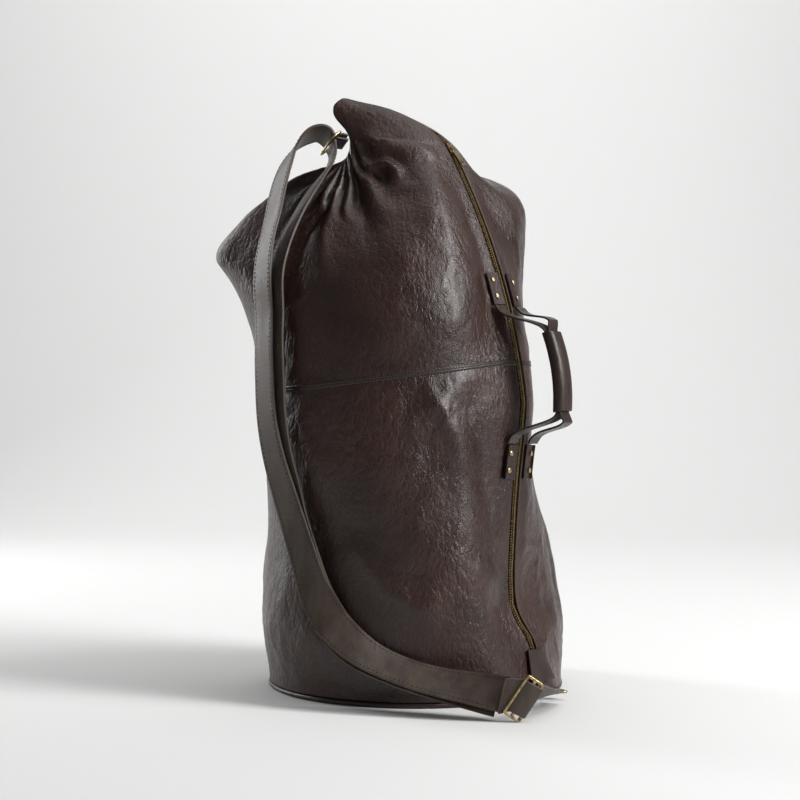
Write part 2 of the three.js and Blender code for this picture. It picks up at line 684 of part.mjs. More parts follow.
function ovalTube(line, width, depth, thickness, rows, sides) {
  const ringAt = (t, w, d) => Array.from({ length: sides }, (_, i) => {
    const angle = i / sides * Math.PI * 2;
    const c = Math.cos(angle);
    const s = Math.sin(angle);
    const reach = 0.5 / (Math.abs(c) ** 3 + Math.abs(s) ** 3) ** (1 / 3);
    return line(t).addScaledVector(zipCross, c * reach * w).addScaledVector(gripOut, s * reach * d);
  });
  const vertices = [];
  const [innerWidth, innerDepth] = [width - 2 * thickness, depth - 2 * thickness];
  for (let j = 0; j <= rows; j += 1) vertices.push(...ringAt(0.5 - j / rows, width, depth));
  for (let j = rows; j >= 0; j -= 1) vertices.push(...ringAt(0.5 - j / rows, innerWidth, innerDepth));
  const total = 2 * (rows + 1);
  const triangles = [];
  for (let j = 0; j < total; j += 1) {
    for (let i = 0; i < sides; i += 1) {
      const [p, q] = [j * sides + i, j * sides + (i + 1) % sides];
      const [r, s] = [((j + 1) % total) * sides + (i + 1) % sides, ((j + 1) % total) * sides + i];
      triangles.push(p, q, r, p, r, s);
    }
  }
  return geometryOf(vertices, triangles);
}
add('handle_grip', ovalTube(gripLine, gripWidth, gripDepth, gripWall, 10, 20), leather, handle);

// ---- Shoulder strap: a doubled run from the top ring to the slide buckle, its end to the base ring ----

// Samples of the skin that a strap lies against
const skinSamples = [];
const [sampleRows, sampleColumns] = [60, 90];
for (let j = 2; j < sampleRows; j += 1) {
  for (let i = 0; i < sampleColumns; i += 1) {
    const [around, up] = [i / sampleColumns, j / sampleRows];
    skinSamples.push({ around, up, at: skin(around, up) });
  }
}
function overBag(point) {
  let best = skinSamples[0];
  for (const sample of skinSamples) {
    if (sample.at.distanceToSquared(point) < best.at.distanceToSquared(point)) best = sample;
  }
  const normal = skinNormal(best.around, best.up);
  return { height: point.clone().sub(best.at).dot(normal), normal };
}

// A strap along hand-laid points, each with the azimuth and tilt of its outer face.
// Points that would dig into the bag are lifted until the strap's inner face is clear of it
function strap(points, width, thickness, steps, clearance, lastWidth = width) {
  const directions = points.map(([, , , azimuth, tilt]) => v3(
    Math.cos(polar(azimuth)) * Math.cos(polar(tilt)),
    Math.sin(polar(azimuth)) * Math.cos(polar(tilt)),
    Math.sin(polar(tilt))));
  const places = points.map(([x, y, z]) => v3(x, y, z));
  const last = places.length - 1;
  for (let round = 0; round < 3; round += 1) {
    places.forEach((place, i) => {
      const along = places[Math.min(last, i + 1)].clone().sub(places[Math.max(0, i - 1)]).normalize();
      const across = along.cross(directions[i]).normalize();
      for (const share of [-0.5, -0.25, 0, 0.25, 0.5]) {
        for (const sunk of [0, thickness]) {
          const test = place.clone().addScaledVector(across, share * width)
            .addScaledVector(directions[i], -sunk);
          const { height, normal } = overBag(test);
          if (height < clearance) place.addScaledVector(normal, clearance - height);
        }
      }
    });
  }
  const path = new THREE.CatmullRomCurve3(places, false, 'centripetal');
  const faces = new THREE.CatmullRomCurve3(directions, false, 'centripetal');
  const sheet = (a, b) => {
    const t = THREE.MathUtils.clamp(b, 0.002, 0.998);
    const along = path.getPoint(t + 0.002).sub(path.getPoint(t - 0.002)).normalize();
    const across = along.cross(faces.getPoint(b)).normalize();
    return path.getPoint(b).addScaledVector(across, (a - 0.5) * lerp(width, lastWidth, b));
  };
  return slab(sheet, 1, steps, thickness);
}

const frontRun = [
  [-90.6, -24.4, 589.6, 30, 40], [-96, -25, 597, 60, 60], [-104, -27, 600, 95, 67],
  [-119, -31, 594, 160, 54], [-132, -37, 580, 190, 35], [-140, -43, 562, 205, 16],
  [-147, -49, 538, 210, 6], [-153, -56, 506, 212, 0], [-157, -66, 468, 213, 0],
  [-158, -78, 434, 213, 0], [-160, -84, 402, 213, 0], [-160, -89, 369, 213, 0],
  [-159, -93, 332, 214, 0], [-156, -98, 289, 216, 0], [-148, -106, 250, 218, 2],
  [-138, -114, 218, 220, 6], [-127, -124, 185, 222, 10], [-115, -134, 149, 226, 14],
  [-104, -143, 117, 232, 24], [-92, -151, 98, 238, 34], [-80, -160, 83, 243, 42],
  [-54, -174, 62, 250, 52], [-22, -188, 47, 256, 56], [14, -201, 37, 262, 52],
  [55, -215, 31, 266, 40], [88, -227, 26, 270, 12],
];
const backRun = [
  [-89.4, -24.2, 586.4, 25, 30], [-87, -26, 576, 15, 5], [-91, -31, 561, 18, 0],
  [-101, -38, 547, 22, 0], [-115, -47, 522, 26, 0], [-134, -67, 470, 31, 0],
  [-141, -78, 434, 33, 0], [-145, -87, 402, 33, 0], [-146, -92, 369, 33, 0],
  [-145, -96, 332, 34, 0], [-143, -100, 289, 36, 0], [-137, -105, 250, 38, -2],
  [-129, -111, 218, 40, -6], [-122, -118, 185, 42, -10], [-110, -129, 146, 46, -14],
  [-99, -136, 112, 52, -24], [-88, -144, 92, 58, -34], [-76, -151, 76, 63, -42],
  [-52, -165, 54, 70, -52], [-20, -180, 39, 76, -56], [15, -194, 30, 82, -52],
  [54, -206, 23, 86, -40], [80, -214, 19, 90, -22],
];
const doubledLift = 2 * strapLift + strapThickness;
add('shoulder_strap_front', strap(frontRun, strapWidth, strapThickness, 60, doubledLift), strapLeather);
add('shoulder_strap_back', strap(backRun, strapWidth, strapThickness, 56, strapLift), strapLeather);

// A rectangular ring of round wire: centre, long direction, short direction, clear sizes
function wireFrame(centre, long, short, clearLong, clearShort, radius) {
  const e1 = long.clone().normalize();
  const e2 = short.clone().addScaledVector(e1, -short.dot(e1)).normalize();
  const [h1, h2] = [clearLong / 2 + radius, clearShort / 2 + radius];
  const corner = ([i, j]) => centre.clone().addScaledVector(e1, i * h1).addScaledVector(e2, j * h2);
  const corners = [[-1, -1], [1, -1], [1, 1], [-1, 1]].map(corner);
  return { geometry: ringBar(corners, radius, 4), e1, e2 };
}

// A folded leather tab round a ring's bar, its two legs running along a direction
function chape(barCentre, barAxis, towards, width, legs) {
  const inner = wireRadius + gap;
  const outer = inner + chapeThickness;
  const shape = new THREE.Shape();
  shape.absarc(0, 0, outer, Math.PI / 2, Math.PI * 1.5, false);
  shape.lineTo(legs, -outer);
  shape.lineTo(legs, -inner);
  shape.lineTo(0, -inner);
  shape.absarc(0, 0, inner, Math.PI * 1.5, Math.PI / 2, true);
  shape.lineTo(legs, inner);
  shape.lineTo(legs, outer);
  const settings = { depth: width, curveSegments: 6, bevelEnabled: false };
  const geometry = new THREE.ExtrudeGeometry(shape, settings);
  geometry.translate(0, 0, -width / 2);
  const basis = new THREE.Matrix4().makeBasis(towards, barAxis.clone().cross(towards), barAxis);
  return geometry.applyMatrix4(basis.setPosition(barCentre));
}

const topRingCentre = v3(-91, -24.5, 588);
const [topLong, topShort] = [v3(-0.36, 0.86, -0.36), v3(0.66, 0.5, 0.56)];
const topRing = wireFrame(topRingCentre, topLong, topShort, ringWidth, topRingDepth, wireRadius);
add('top_ring', topRing.geometry, brass);
const topBar = topRingCentre.clone().addScaledVector(topRing.e2, topRingDepth / 2 + wireRadius);
const chapeRun = v3(0.86, 0.33, -0.09);
chapeRun.addScaledVector(topRing.e1, -chapeRun.dot(topRing.e1)).normalize();
add('top_chape', chape(topBar, topRing.e1, chapeRun, topChapeWidth, topChapeLegs), leather);

// The slide buckle: a flat frame with rounded edges and a bar across its middle
const buckleCentre = v3(103.5, -231, 23.1);
const [buckleLong, buckleShort] = [v3(0.56, 0, 0.83).normalize(), v3(0.88, 0.1, -0.47)];
buckleShort.addScaledVector(buckleLong, -buckleShort.dot(buckleLong)).normalize();
const buckleFace = buckleLong.clone().cross(buckleShort);
function roundedBox(kind, halfLong, low, high, radius) {
  const box = new kind();
  box.absarc(halfLong - radius, high - radius, radius, 0, Math.PI / 2);
  box.absarc(radius - halfLong, high - radius, radius, Math.PI / 2, Math.PI);
  box.absarc(radius - halfLong, low + radius, radius, Math.PI, Math.PI * 1.5);
  box.absarc(halfLong - radius, low + radius, radius, Math.PI * 1.5, Math.PI * 2);
  return box.closePath();
}
const frameBar = 2 * wireRadius;
const buckleEdge = 0.6; // rounding of the frame's edges
const halfClear = ringWidth / 2;
const halfDepth = buckleDepth / 2;
const buckleShape = roundedBox(THREE.Shape, halfClear + frameBar - buckleEdge,
  -halfDepth - frameBar + buckleEdge, halfDepth + frameBar - buckleEdge, frameBar);
for (const [low, high] of [[-halfDepth, -slideBar / 2], [slideBar / 2, halfDepth]]) {
  buckleShape.holes.push(roundedBox(THREE.Path, halfClear + buckleEdge, low - buckleEdge, high + buckleEdge, 1));
}
const buckleGeometry = new THREE.ExtrudeGeometry(buckleShape, {
  depth: frameBar - 2 * buckleEdge, curveSegments: 4,
  bevelThickness: buckleEdge, bevelSize: buckleEdge, bevelSegments: 2,
});
buckleGeometry.translate(0, 0, buckleEdge - frameBar / 2);
buckleGeometry.applyMatrix4(new THREE.Matrix4().makeBasis(buckleLong, buckleShort, buckleFace)
  .setPosition(buckleCentre));
add('slide_buckle', buckleGeometry, brass);

const baseRingCentre = v3(144, -112, 9);
const [baseLong, baseShort] = [v3(0.85, 0.35, 0), v3(0.5, -0.86, 0.05)];
const baseRing = wireFrame(baseRingCentre, baseLong, baseShort, baseRingWidth, baseRingDepth, wireRadius);
add('base_ring', baseRing.geometry, brass);
const baseBar = baseRingCentre.clone().addScaledVector(baseRing.e2, -baseRingDepth / 2 - wireRadius);
const inwards = baseRing.e2.clone().negate();
add('base_chape', chape(baseBar, baseRing.e1, inwards, baseChapeWidth, baseChapeLegs), leather);

const endRun = [
  [110, -226, 21, -15, -30], [118, -203, 19, -10, -46], [128, -176, 15, -6, -64],
  [138, -148, 12, -2, -78], [144, -129, 10.5, 0, -85],
];
const endWidth = baseRingWidth - 2;
add('shoulder_strap_end', strap(endRun, strapWidth, strapThickness, 16, strapLift, endWidth), strapLeather);

export default bag;
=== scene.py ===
# Leather kit bag: the looks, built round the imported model.
import json
import math

import bmesh
import bpy
from mathutils import Matrix, Vector, noise
from mathutils.bvhtree import BVHTree
from mathutils.kdtree import KDTree


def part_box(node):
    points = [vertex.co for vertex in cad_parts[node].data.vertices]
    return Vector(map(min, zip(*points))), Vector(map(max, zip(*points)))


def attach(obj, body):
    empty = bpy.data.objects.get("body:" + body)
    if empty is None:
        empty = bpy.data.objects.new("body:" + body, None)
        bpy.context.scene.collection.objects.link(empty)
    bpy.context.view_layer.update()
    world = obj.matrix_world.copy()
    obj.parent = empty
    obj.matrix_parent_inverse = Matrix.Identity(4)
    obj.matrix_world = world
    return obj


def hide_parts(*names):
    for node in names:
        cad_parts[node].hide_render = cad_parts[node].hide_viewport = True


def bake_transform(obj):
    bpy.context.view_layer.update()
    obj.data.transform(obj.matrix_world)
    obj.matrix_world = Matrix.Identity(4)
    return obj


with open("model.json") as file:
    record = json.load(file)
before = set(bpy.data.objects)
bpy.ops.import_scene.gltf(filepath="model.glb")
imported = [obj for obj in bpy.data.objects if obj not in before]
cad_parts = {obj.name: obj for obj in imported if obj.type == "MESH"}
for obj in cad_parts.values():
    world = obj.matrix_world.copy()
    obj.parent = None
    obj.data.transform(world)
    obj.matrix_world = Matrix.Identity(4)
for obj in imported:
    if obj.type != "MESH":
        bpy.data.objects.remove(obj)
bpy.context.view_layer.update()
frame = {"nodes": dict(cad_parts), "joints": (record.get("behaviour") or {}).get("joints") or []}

mm = 0.001
cadNodes = frame["nodes"]
print("frame loaded")

# ---- camera, floor and lights ----

studio = {
    "lens": 80.0,
    "cameraPlace": (-0.016, -1.95, 0.332),
    "tiltDown": math.radians(0.65),
    "floorHalf": 6.0,
    "wallDistance": 3.2,
    "sweepRadius": 1.4,
    "sweepSteps": 12,
    "wallHeight": 4.0,
    "worldColour": (0.86, 0.87, 0.87, 1),
    "worldStrength": 0.21,
    # place, what it looks at, size and power
    "softBoxes": {
        "keyLight": ((2.1, -1.0, 1.45), (0, 0, 0.3), (0.8, 1.1), 52),
        "ridgeLight": ((1.1, -0.35, 1.9), (0, -0.05, 0.5), (0.5, 0.8), 15),
        "leftRim": ((-1.6, 1.1, 1.0), (0, 0, 0.3), (0.5, 1.5), 18),
        "topLight": ((0.2, 0.6, 2.5), (0, 0.3, 0.2), (1.8, 1.8), 10),
        "wallLight": ((0, 1.5, 2.7), (0, 3.2, 1.5), (2.4, 0.8), 36),
    },
}


def makeCamera():
    data = bpy.data.cameras.new("camera")
    data.lens = studio["lens"]
    data.sensor_width = 36
    camera = bpy.data.objects.new("camera", data)
    camera.location = studio["cameraPlace"]
    camera.rotation_euler = (math.pi / 2 - studio["tiltDown"], 0, 0)
    bpy.context.scene.collection.objects.link(camera)
    bpy.context.scene.camera = camera


def softBox(name, place, target, size, power):
    data = bpy.data.lights.new(name, "AREA")
    data.shape = "RECTANGLE"
    data.size, data.size_y = size
    data.energy = power
    light = bpy.data.objects.new(name, data)
    light.location = place
    light.rotation_euler = (Vector(target) - Vector(place)).to_track_quat("-Z", "Y").to_euler()
    bpy.context.scene.collection.objects.link(light)


# ---- shader maths ----


class Value:
    # a socket that takes part in sums; colours go through Finish.blend instead

    def __init__(self, finish, socket):
        self.finish = finish
        self.socket = socket

    def sum(self, operation, first, second):
        return self.finish.node("ShaderNodeMath", {"operation": operation}, {0: first, 1: second})

    def __add__(self, other):
        return self.sum("ADD", self, other)

    def __sub__(self, other):
        return self.sum("SUBTRACT", self, other)

    def __rsub__(self, other):
        return self.sum("SUBTRACT", other, self)

    def __mul__(self, other):
        return self.sum("MULTIPLY", self, other)

    __radd__ = __add__
    __rmul__ = __mul__


class Finish:
    # one material and the nodes in it

    def __init__(self, name):
        self.material = bpy.data.materials.new(name)
        self.material.use_nodes = True
        self.tree = self.material.node_tree
        self.tree.nodes.clear()
        self.place = self.node("ShaderNodeTexCoord", output="Object")

    def node(self, kind, settings=None, inputs=None, output=0):
        made = self.tree.nodes.new(kind)
        for key, setting in (settings or {}).items():
            setattr(made, key, setting)
        for key, value in (inputs or {}).items():
            if isinstance(value, Value):
                self.tree.links.new(value.socket, made.inputs[key])
            else:
                made.inputs[key].default_value = value
        return Value(self, made.outputs[output]) if made.outputs else None

    def stretched(self, scale, place=None):
        return self.node("ShaderNodeMapping", {}, {"Vector": place or self.place, "Scale": scale})

    def cloud(self, scale, detail=3.0, roughness=0.5, place=None):
        return self.node("ShaderNodeTexNoise", {}, {
            "Vector": place or self.place, "Scale": scale, "Detail": detail, "Roughness": roughness})

    def ridges(self, scale, place, detail):
        return self.node("ShaderNodeTexNoise", {"noise_type": "RIDGED_MULTIFRACTAL"}, {
            "Vector": place, "Scale": scale, "Detail": detail, "Roughness": 0.55})

    def cells(self, scale, place):
        # 0 along the cells' edges, more towards their middles
        return self.node("ShaderNodeTexVoronoi", {"feature": "DISTANCE_TO_EDGE"}, {
            "Vector": place, "Scale": scale})

    def bands(self, direction, scale):
        return self.node("ShaderNodeTexWave", {"bands_direction": direction}, {
            "Vector": self.place, "Scale": scale, "Distortion": 1.5, "Detail": 1.0, "Detail Scale": 3.0})

    def vector(self, operation, first, second):
        return self.node("ShaderNodeVectorMath", {"operation": operation}, {0: first, 1: second})

    def warped(self, scale, amount):
        # the place pushed about by a noise, so that cells and creases wander
        push = self.node("ShaderNodeTexNoise", {}, {"Vector": self.place, "Scale": scale}, output=1)
        centred = self.vector("SUBTRACT", push, (0.5, 0.5, 0.5))
        return self.vector("ADD", self.place, self.vector("MULTIPLY", centred, (amount,) * 3))

    def between(self, value, low, high, to=(0.0, 1.0)):
        return self.node("ShaderNodeMapRange", {}, {
            "Value": value, "From Min": low, "From Max": high, "To Min": to[0], "To Max": to[1]})

    def blend(self, factor, first, second):
        # a mix of two colours
        return self.node("ShaderNodeMix", {"data_type": "RGBA"}, {0: factor, 6: first, 7: second}, output=2)

    def bump(self, height, distance, strength, normal=None):
        inputs = {"Height": height, "Distance": distance, "Strength": strength}
        if normal:
            inputs["Normal"] = normal
        return self.node("ShaderNodeBump", {}, inputs)

    def surface(self, **inputs):
        shader = self.node("ShaderNodeBsdfPrincipled", {}, inputs)
        self.node("ShaderNodeOutputMaterial", {}, {"Surface": shader})
        return self.material


def colour(red, green, blue):
    return (red, green, blue, 1.0)


def bagLeather(name, dark, warm, rough=0.3, crease=1.0):
    f = Finish(name)
    wander = f.warped(38.0, 0.011)
    upright = f.stretched((1.0, 1.0, 0.55), wander)
    broad = f.cloud(7.0, 3.0)
    patches = f.cloud(30.0, 5.0, 0.6)
    creases = f.between(f.cells(78.0, upright), 0.0, 0.22)
    wrinkles = f.between(f.cells(190.0, upright), 0.0, 0.28)
    grain = f.between(f.cells(520.0, f.warped(160.0, 0.003)), 0.0, 0.35)
    pores = f.cloud(1500.0, 2.0)
    amount = f.between(broad, 0.35, 0.65, (0.35, 1.0))
    soft = f.ridges(24.0, upright, 3.0)
    folded = f.bump(soft + creases * amount * 0.6, 0.0012 * crease, 0.5)
    wrinkled = f.bump(wrinkles * amount + grain * 0.45, 0.0004 * crease, 0.8, folded)
    bumped = f.bump(pores, 0.00008, 0.5, wrinkled)
    tone = f.blend(f.between(broad * 0.6 + patches * 0.4, 0.36, 0.64), dark, warm)
    # painted shade: the tone is darkened towards near-black along the crease lines, where shade falls in the
    # creases
    creaseShadedTone = f.blend(f.between(creases, 0.0, 0.4, (0.16, 0.0)) * amount, tone, colour(0.008, 0.004, 0.003))
    polish = f.between(patches, 0.3, 0.7, (rough - 0.06, rough + 0.1)) + (1 - wrinkles) * 0.12
    return f.surface(**{
        "Base Color": creaseShadedTone, "Roughness": polish, "Normal": bumped,
        "Specular IOR Level": 0.45, "Coat Weight": 0.14, "Coat Roughness": 0.18})


def strapLeather(name, dark, warm, rough):
    f = Finish(name)
    wander = f.warped(60.0, 0.006)
    streaks = f.cloud(55.0, 4.0, 0.55, f.stretched((1.0, 1.0, 0.25), wander))
    grain = f.between(f.cells(640.0, f.warped(200.0, 0.002)), 0.0, 0.35)
    creases = f.between(f.cells(60.0, f.stretched((1.0, 1.0, 2.4), wander)), 0.0, 0.08)
    bumped = f.bump(grain, 0.00012, 0.6, f.bump(creases, 0.00025, 0.35))
    tone = f.blend(f.between(streaks, 0.35, 0.65), dark, warm)
    polish = f.between(streaks, 0.3, 0.7, (rough - 0.06, rough + 0.08))
    return f.surface(**{
        "Base Color": tone, "Roughness": polish, "Normal": bumped, "Specular IOR Level": 0.35})


def metal(name, bright, dull, rough):
    f = Finish(name)
    tarnish = f.cloud(240.0, 4.0, 0.6)
    scratches = f.cloud(900.0, 2.0, 0.5, f.stretched((1.0, 1.0, 0.2)))
    tone = f.blend(f.between(tarnish, 0.38, 0.66), bright, dull)
    polish = f.between(tarnish, 0.3, 0.7, (rough, rough + 0.22))
    bumped = f.bump(scratches, 0.00003, 0.5)
    return f.surface(**{"Base Color": tone, "Roughness": polish, "Normal": bumped, "Metallic": 1.0})


def weave(name, dark, light):
    f = Finish(name)
    both = f.bands("Z", 420.0) * 0.6 + f.bands("X", 420.0) * 0.4
    tone = f.blend(both, dark, light)
    return f.surface(**{"Base Color": tone, "Roughness": 0.85, "Normal": f.bump(both, 0.0003, 0.8)})


def plain(name, first, second, rough, scale):
    # raw edges, thread, lining and board: two close tones over a fine nap
    f = Finish(name)
    nap = f.cloud(scale, 4.0, 0.6)
    tone = f.blend(f.between(nap, 0.35, 0.65), first, second)
    return f.surface(**{"Base Color": tone, "Roughness": rough, "Normal": f.bump(nap, 0.0001, 0.7)})


def backdropFinish():
    f = Finish("studioPaper")
    return f.surface(**{"Base Color": colour(0.8, 0.8, 0.795), "Roughness": 0.85})


finishes = {
    "body": bagLeather("bagLeather", colour(0.017, 0.0066, 0.0042), colour(0.04, 0.0148, 0.0094)),
    "trim": bagLeather("trimLeather", colour(0.017, 0.0078, 0.0058), colour(0.031, 0.0135, 0.01), 0.36, 0.5),
    "strapFace": strapLeather("strapFace", colour(0.046, 0.032, 0.025), colour(0.08, 0.058, 0.045), 0.42),
    "strapBack": strapLeather(
        "strapBack", colour(0.0105, 0.0085, 0.0075), colour(0.017, 0.0135, 0.0115), 0.5),
    "rawEdge": plain("rawEdge", colour(0.12, 0.085, 0.06), colour(0.2, 0.15, 0.11), 0.75, 900.0),
    "lining": plain("lining", colour(0.05, 0.048, 0.046), colour(0.085, 0.08, 0.076), 0.5, 260.0),
    "thread": plain("thread", colour(0.007, 0.005, 0.004), colour(0.013, 0.009, 0.007), 0.6, 3000.0),
    "brass": metal("agedBrass", colour(0.52, 0.4, 0.22), colour(0.2, 0.14, 0.07), 0.26),
    "teeth": metal("zipBrass", colour(0.42, 0.3, 0.14), colour(0.12, 0.08, 0.04), 0.36),
    "tape": weave("zipTape", colour(0.05, 0.034, 0.014), colour(0.16, 0.11, 0.048)),
    "board": plain("stiffBoard", colour(0.03, 0.026, 0.022), colour(0.06, 0.05, 0.042), 0.85, 200.0),
}
print("finishes made")

# ---- working on meshes ----


def meshObject(name, mesh, body, slotName, *finishNames):
    piece = bpy.data.objects.new(name, mesh)
    bpy.context.scene.collection.objects.link(piece)
    mesh.materials.clear()
    for finishName in finishNames:
        mesh.materials.append(finishes[finishName])
    if body:
        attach(piece, body)
    return piece


def toMesh(shell, name, smooth=True):
    for face in shell.faces:
        face.smooth = smooth
    mesh = bpy.data.meshes.new(name)
    shell.to_mesh(mesh)
    shell.free()
    return mesh


def solidCopy(node):
    # a CAD solid with its doubles merged and its triangles joined in fours
    shell = bmesh.new()
    shell.from_mesh(cadNodes[node].data)
    bmesh.ops.remove_doubles(shell, verts=shell.verts, dist=1e-6)
    bmesh.ops.join_triangles(
        shell, faces=shell.faces, angle_face_threshold=math.pi, angle_shape_threshold=math.pi)
    for face in shell.faces:
        face.material_index = 0
    return shell


def regions(shell, sharp=math.radians(50)):
    # groups of faces that run into each other without a sharp edge, the largest first
    seen, groups = set(), []
    for face in shell.faces:
        if face in seen:
            continue
        seen.add(face)
        group, waiting = [], [face]
        while waiting:
            here = waiting.pop()
            group.append(here)
            for edge in here.edges:
                if len(edge.link_faces) == 2 and edge.calc_face_angle(0) < sharp:
                    fresh = [f for f in edge.link_faces if f not in seen]
                    seen.update(fresh)
                    waiting.extend(fresh)
        groups.append(group)
    return sorted(groups, key=lambda group: -sum(face.calc_area() for face in group))


def keepFaces(shell, faces):
    kept = set(faces)
    bmesh.ops.delete(shell, geom=[f for f in shell.faces if f not in kept], context="FACES")


def divided(mesh, levels):
    # the mesh after that many rounds of subdivision
    holder = bpy.data.objects.new("holder", mesh)
    bpy.context.scene.collection.objects.link(holder)
    modifier = holder.modifiers.new("divide", "SUBSURF")
    modifier.levels = modifier.render_levels = levels
    modifier.boundary_smooth = "PRESERVE_CORNERS"
    finished = bpy.data.meshes.new_from_object(holder.evaluated_get(bpy.context.evaluated_depsgraph_get()))
    bpy.data.objects.remove(holder)
    return finished


def rounded(piece, levels):
    modifier = piece.modifiers.new("rounded", "SUBSURF")
    modifier.levels = modifier.render_levels = levels


def softened(shell, edge):
    sharp = [
        e for e in shell.edges if len(e.link_faces) == 2 and e.calc_face_angle(0) > math.radians(40)]
    bmesh.ops.bevel(
        shell, geom=sharp, offset=edge, segments=2, profile=0.5, affect="EDGES",
        material=-1, clamp_overlap=True)


def smoothNode(name, node, body, slotName, finishName, levels, edge=0.0):
    # a CAD solid with softened edges and rounds of subdivision
    shell = solidCopy(node)
    if edge:
        softened(shell, edge)
    piece = meshObject(name, toMesh(shell, name), body, slotName, finishName)
    if levels:
        rounded(piece, levels)
    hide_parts(node)


def boxMiddle(node):
    low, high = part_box(node)
    return (Vector(low) + Vector(high)) / 2


def bridgedStrip(shell, rows):
    # a strip laid through the rows of points: each pair of rows is bridged
    previous = None
    for row in rows:
        points = [shell.verts.new(p) for p in row]
        edges = [shell.edges.new(pair) for pair in zip(points, points[1:])]
        if previous:
            bmesh.ops.bridge_loops(shell, edges=previous + edges)
        previous = edges


def poured(shell, part):
    # one mesh added to another
    mesh = bpy.data.meshes.new("part")
    part.to_mesh(mesh)
    part.free()
    shell.from_mesh(mesh)
    bpy.data.meshes.remove(mesh)


def standing(middle, across, along, up):
    # the place of a small shape: its middle and its three half or whole sides
    turn = Matrix((across, along, up)).transposed().to_4x4()
    turn.translation = middle
    return turn


stitchForm = {"handful": 30, "height": 0.42}  # height as a share of the thread's width


def stitches(shell, row, normals, pitch, length, width):
    # small domes along a line, made a handful at a time
    places = evenly(row, pitch)
    for first in range(0, len(places), stitchForm["handful"]):
        part = bmesh.new()
        for i, share in places[first:first + stitchForm["handful"]]:
            along = (row[i + 1] - row[i]).normalized()
            across = normals[i].cross(along).normalized()
            turn = standing(row[i].lerp(row[i + 1], share), along * length / 2, across * width / 2,
                            normals[i] * width * stitchForm["height"])
            bmesh.ops.create_uvsphere(part, u_segments=6, v_segments=4, radius=1.0, matrix=turn)
        poured(shell, part)


def evenly(points, pitch):
    # places at an even pitch along a line, with their index in it
    lengths = [0.0]
    for a, b in zip(points, points[1:]):
        lengths.append(lengths[-1] + (b - a).length)
    count = max(1, int(lengths[-1] / pitch))
    found, i = [], 0
    for k in range(count):
        wanted = (k + 0.5) * lengths[-1] / count
        while i < len(points) - 2 and lengths[i + 1] < wanted:
            i += 1
        share = (wanted - lengths[i]) / max(1e-9, lengths[i + 1] - lengths[i])
        found.append((i, share))
    return found


# ---- the bag's leather ----

panels = {
    "thickness": 2.1 * mm,
    "levels": 3,
    "dent": 3.0 * mm,
    "crease": 1.0 * mm,
    "crinkle": 0.5 * mm,
    "pleat": 3.6 * mm,
    "foldScale": 1.5,
    "foldSharpness": 1.4,
    "foldReach": 3,  # in half widths
    "gather": Vector((-72, -8, 574)) * mm,
    "gatherReach": 105 * mm,
    "pleatTop": 590 * mm,
    "pleatCount": 15,
    "calmReach": 16 * mm,  # nothing moves at the seams, and everything this far from them
    "footReach": 26 * mm,
}

# how often the noises repeat in a metre, and how far the creases wander
grainOfFolds = {"dents": 9, "creases": 46, "crinkles": 105, "drift": 22, "driftReach": 0.016,
                "uprightStretch": 0.45, "pleatDrift": 30, "ridgeWidth": 2.4, "bareShare": 0.35}

# folds: points along the fold in mm, its half width and its height (a valley is negative)
frontFolds = [
    ([(-70, -40, 566), (-56, -60, 520), (-44, -90, 470), (-34, -110, 425)], 9, -5.0),
    ([(-52, -38, 560), (-38, -60, 520), (-22, -88, 474), (-4, -108, 430)], 10, 5.5),
    ([(-60, -30, 580), (-30, -44, 540), (0, -66, 505), (24, -86, 468), (34, -100, 432)], 9, -4.0),
    ([(-50, -24, 594), (-20, -34, 560), (14, -52, 520), (44, -74, 470), (56, -90, 420)], 12, 4.5),
    ([(-86, -50, 540), (-96, -72, 490), (-94, -100, 440)], 10, 4.0),
    ([(-100, -44, 528), (-118, -66, 470), (-122, -90, 420)], 9, -3.5),
    ([(22, -140, 306), (40, -130, 270), (46, -128, 209), (34, -138, 150), (15, -150, 106)], 12, 4.5),
    ([(52, -120, 300), (66, -112, 250), (70, -112, 200), (60, -126, 150)], 14, -3.5),
    ([(0, -132, 320), (10, -136, 280), (8, -142, 240)], 8, -2.0),
    ([(-120, -120, 230), (-128, -118, 180), (-120, -126, 130)], 10, 2.5),
    ([(-60, -150, 160), (-30, -158, 120), (10, -158, 96)], 12, 2.0),
    ([(76, -120, 130), (96, -112, 100), (112, -106, 70)], 9, 3.0),
]
backFolds = [
    ([(-60, 26, 560), (-50, 60, 520), (-30, 94, 470), (-14, 118, 420)], 10, 4.5),
    ([(-80, 24, 554), (-100, 52, 510), (-116, 78, 450)], 10, -4.0),
    ([(-30, 34, 566), (10, 60, 540), (40, 96, 480), (50, 112, 430)], 12, -4.0),
    ([(114, 60, 520), (108, 70, 450), (104, 70, 380)], 13, 3.5),
    ([(124, 10, 300), (130, 20, 240), (146, 10, 170), (158, 10, 110)], 13, -3.0),
    ([(100, 90, 280), (110, 96, 200), (120, 100, 120)], 14, 3.0),
    ([(-20, 136, 300), (-10, 140, 230), (0, 152, 150)], 14, -2.5),
    ([(-120, 90, 300), (-124, 92, 220), (-120, 104, 140)], 12, 2.5),
]


def foldHeight(point, folds):
    total = 0.0
    for points, halfWidth, height in folds:
        best = math.inf
        for a, b in zip(points, points[1:]):
            along = b - a
            share = min(1.0, max(0.0, (point - a).dot(along) / along.length_squared))
            best = min(best, (point - a - along * share).length)
        if best < panels["foldReach"] * halfWidth:
            total += height * math.exp(-((best / halfWidth) ** panels["foldSharpness"]))
    return total


def scaledFolds(folds):
    grown = mm * panels["foldScale"]
    return [
        ([Vector(p) * mm for p in points], halfWidth * mm, height * grown)
        for points, halfWidth, height in folds]


